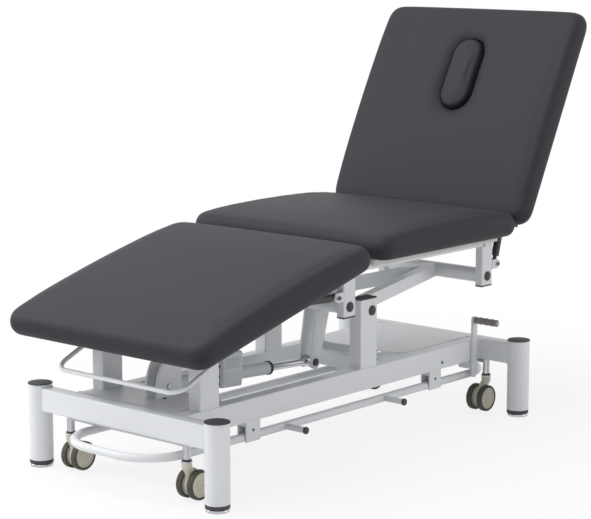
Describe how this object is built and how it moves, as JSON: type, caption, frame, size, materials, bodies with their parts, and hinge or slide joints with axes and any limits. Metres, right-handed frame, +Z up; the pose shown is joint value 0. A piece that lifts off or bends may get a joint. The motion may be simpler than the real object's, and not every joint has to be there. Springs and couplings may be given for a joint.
{
  "type": "treatment couch",
  "caption": "Height-adjustable treatment couch with foot, seat and back pads on a lift frame with foot bar, castors and levelling feet.",
  "frame": {"origin": "Middle of the whole outline at floor level, pose as pictured.", "axes": "+X points to the head end, +Z up, +Y to the side away from the castor lever."},
  "size_m": [1.6296, 0.7, 1.1364],
  "materials": {
    "frame_paint": "light grey-white powder coat",
    "pad_vinyl": "charcoal grey upholstery vinyl with a fine grain",
    "black_plastic": "matt black moulded plastic",
    "black_paint": "satin black paint",
    "steel": "bright chromed steel",
    "motor_plastic": "light grey moulded plastic",
    "grip_plastic": "dark brown-grey moulded grip",
    "plywood": "plain birch plywood",
    "wheel_nylon": "beige nylon with a dark tread"
  },
  "bodies": {
    "base": {"side_rails": "frame_paint", "end_beams": "frame_paint", "cross_members": "frame_paint", "legs": "frame_paint", "leg_caps": "black_plastic", "leg_collars": "black_plastic", "anchor_plates": "frame_paint", "cover_foot": "frame_paint", "cover_head": "frame_paint", "posts": "frame_paint", "post_caps": "black_plastic", "base_pins": "steel", "base_pin_caps": "black_plastic", "bar_hangers": "frame_paint"},
    "head_arm": {"head_arm_tubes": "frame_paint", "head_arm_bars": "frame_paint", "head_crank": "frame_paint"},
    "foot_arm": {"foot_arm_tubes": "frame_paint", "foot_arm_bars": "frame_paint"},
    "actuator": {"actuator_tube": "motor_plastic", "actuator_motor": "motor_plastic"},
    "piston": {"actuator_rod": "steel"},
    "frame": {"frame_rails": "frame_paint", "frame_crosses": "frame_paint", "drop_legs": "frame_paint", "drop_leg_caps": "black_plastic", "frame_lugs": "frame_paint", "frame_pins": "steel", "frame_pin_caps": "black_plastic", "seat_board": "plywood", "seat_pad": "pad_vinyl"},
    "foot_section": {"foot_frame": "frame_paint", "foot_board": "plywood", "foot_pad": "pad_vinyl", "roll_bail": "frame_paint"},
    "foot_strut": {"foot_strut_tube": "motor_plastic"},
    "foot_strut_piston": {"foot_strut_rod": "steel"},
    "backrest": {"back_frame": "black_paint", "back_board": "plywood", "back_pad": "pad_vinyl"},
    "plug": {"face_plug": "pad_vinyl"},
    "back_strut": {"back_strut_tube": "black_paint"},
    "back_strut_piston": {"back_strut_rod": "steel"},
    "foot_control": {"foot_bar": "frame_paint", "peg_caps": "black_plastic"},
    "castor_lever": {"lever_arm": "frame_paint", "lever_grip": "grip_plastic"},
    "castor_lift": {"castor_stems": "steel"},
    "level_1": {"level_foot_1": "steel"},
    "swivel_1": {"castor_1": "wheel_nylon"},
    "wheel_pair_1": {"wheels_1": "wheel_nylon"},
    "level_2": {"level_foot_2": "steel"},
    "swivel_2": {"castor_2": "wheel_nylon"},
    "wheel_pair_2": {"wheels_2": "wheel_nylon"},
    "level_3": {"level_foot_3": "steel"},
    "swivel_3": {"castor_3": "wheel_nylon"},
    "wheel_pair_3": {"wheels_3": "wheel_nylon"},
    "level_4": {"level_foot_4": "steel"},
    "swivel_4": {"castor_4": "wheel_nylon"},
    "wheel_pair_4": {"wheels_4": "wheel_nylon"}
  },
  "joints": [
    {"name": "raise", "type": "hinge", "parent": "base", "child": "head_arm", "pos_m": [0.01027, 0, 0.364], "axis": [0, -1, 0], "range_deg": [0, 48]},
    {"name": "raise_foot_arm", "type": "hinge", "parent": "base", "child": "foot_arm", "pos_m": [-0.60773, 0, 0.364], "axis": [0, -1, 0], "range_deg": [0, 48]},
    {"name": "raise_level", "type": "hinge", "parent": "head_arm", "child": "frame", "pos_m": [0.53477, 0, 0.3869], "axis": [0, -1, 0], "range_deg": [-48, 0]},
    {"name": "raise_motor_tilt", "type": "hinge", "parent": "base", "child": "actuator", "pos_m": [-0.58873, 0, 0.236], "axis": [0, -1, 0], "range_deg": [-0.5, 3]},
    {"name": "raise_piston", "type": "slide", "parent": "actuator", "child": "piston", "axis": [0.9984, 0, -0.0565], "range_m": [0, 0.14]},
    {"name": "foot_tilt", "type": "hinge", "parent": "frame", "child": "foot_section", "pos_m": [-0.13073, 0, 0.5], "axis": [0, 1, 0], "range_deg": [0, 15]},
    {"name": "foot_strut_turn", "type": "hinge", "parent": "frame", "child": "foot_strut", "pos_m": [-0.13023, 0, 0.4169], "axis": [0, 1, 0], "range_deg": [0, 16]},
    {"name": "foot_strut_slide", "type": "slide", "parent": "foot_strut", "child": "foot_strut_piston", "axis": [-0.9987, 0, 0.0512], "range_m": [0, 0.024]},
    {"name": "back_tilt", "type": "hinge", "parent": "frame", "child": "backrest", "pos_m": [0.52527, 0, 0.516], "axis": [0, -1, 0], "range_deg": [-63, 0]},
    {"name": "back_strut_turn", "type": "hinge", "parent": "frame", "child": "back_strut", "pos_m": [0.58177, 0, 0.4169], "axis": [0, -1, 0], "range_deg": [-57, 0]},
    {"name": "back_strut_slide", "type": "slide", "parent": "back_strut", "child": "back_strut_piston", "axis": [0.2688, 0, 0.9632], "range_m": [-0.115, 0]},
    {"name": "plug_out", "type": "slide", "parent": "backrest", "child": "plug", "axis": [-0.891, 0, 0.454], "range_m": [0, 0.12]},
    {"name": "foot_bar_press", "type": "slide", "parent": "base", "child": "foot_control", "axis": [0, 0, 1], "range_m": [-0.005, 0.005], "stiffness_N_per_m": 30000},
    {"name": "lever_turn", "type": "hinge", "parent": "base", "child": "castor_lever", "pos_m": [0.46927, 0, 0.137], "axis": [0, -1, 0], "range_deg": [0, 70]},
    {"name": "castor_drop", "type": "slide", "parent": "base", "child": "castor_lift", "axis": [0, 0, 1], "range_m": [-0.0105, 0]},
    {"name": "level_1_turn", "type": "slide", "parent": "base", "child": "level_1", "axis": [0, 0, 1], "range_m": [-0.012, 0]},
    {"name": "swivel_1_turn", "type": "hinge", "parent": "castor_lift", "child": "swivel_1", "pos_m": [-0.71773, -0.205, 0.0415], "axis": [0, 0, 1], "continuous": true},
    {"name": "wheels_1_roll", "type": "hinge", "parent": "swivel_1", "child": "wheel_pair_1", "pos_m": [-0.69373, -0.205, 0.0415], "axis": [0, 1, 0], "continuous": true},
    {"name": "level_2_turn", "type": "slide", "parent": "base", "child": "level_2", "axis": [0, 0, 1], "range_m": [-0.012, 0]},
    {"name": "swivel_2_turn", "type": "hinge", "parent": "castor_lift", "child": "swivel_2", "pos_m": [-0.71773, 0.205, 0.0415], "axis": [0, 0, 1], "continuous": true},
    {"name": "wheels_2_roll", "type": "hinge", "parent": "swivel_2", "child": "wheel_pair_2", "pos_m": [-0.69373, 0.205, 0.0415], "axis": [0, 1, 0], "continuous": true},
    {"name": "level_3_turn", "type": "slide", "parent": "base", "child": "level_3", "axis": [0, 0, 1], "range_m": [-0.012, 0]},
    {"name": "swivel_3_turn", "type": "hinge", "parent": "castor_lift", "child": "swivel_3", "pos_m": [0.51627, -0.205, 0.0415], "axis": [0, 0, 1], "continuous": true},
    {"name": "wheels_3_roll", "type": "hinge", "parent": "swivel_3", "child": "wheel_pair_3", "pos_m": [0.49227, -0.205, 0.0415], "axis": [0, 1, 0], "continuous": true},
    {"name": "level_4_turn", "type": "slide", "parent": "base", "child": "level_4", "axis": [0, 0, 1], "range_m": [-0.012, 0]},
    {"name": "swivel_4_turn", "type": "hinge", "parent": "castor_lift", "child": "swivel_4", "pos_m": [0.51627, 0.205, 0.0415], "axis": [0, 0, 1], "continuous": true},
    {"name": "wheels_4_roll", "type": "hinge", "parent": "swivel_4", "child": "wheel_pair_4", "pos_m": [0.49227, 0.205, 0.0415], "axis": [0, 1, 0], "continuous": true}
  ],
  "couplings": [
    {"joint": "raise_foot_arm", "follows": "raise", "ratio": 1},
    {"joint": "raise_level", "follows": "raise", "ratio": -1},
    {"joint": "raise_motor_tilt", "follows": "raise", "ratio": 0.0353},
    {"joint": "raise_piston", "follows": "raise", "m_per_rad": 0.1571},
    {"joint": "foot_strut_turn", "follows": "foot_tilt", "ratio": 0.9465},
    {"joint": "foot_strut_slide", "follows": "foot_tilt", "m_per_rad": 0.08196},
    {"joint": "back_strut_turn", "follows": "back_tilt", "ratio": 0.8541},
    {"joint": "back_strut_slide", "follows": "back_tilt", "m_per_rad": 0.1005},
    {"joint": "castor_drop", "follows": "lever_turn", "m_per_rad": -0.00818}
  ]
}
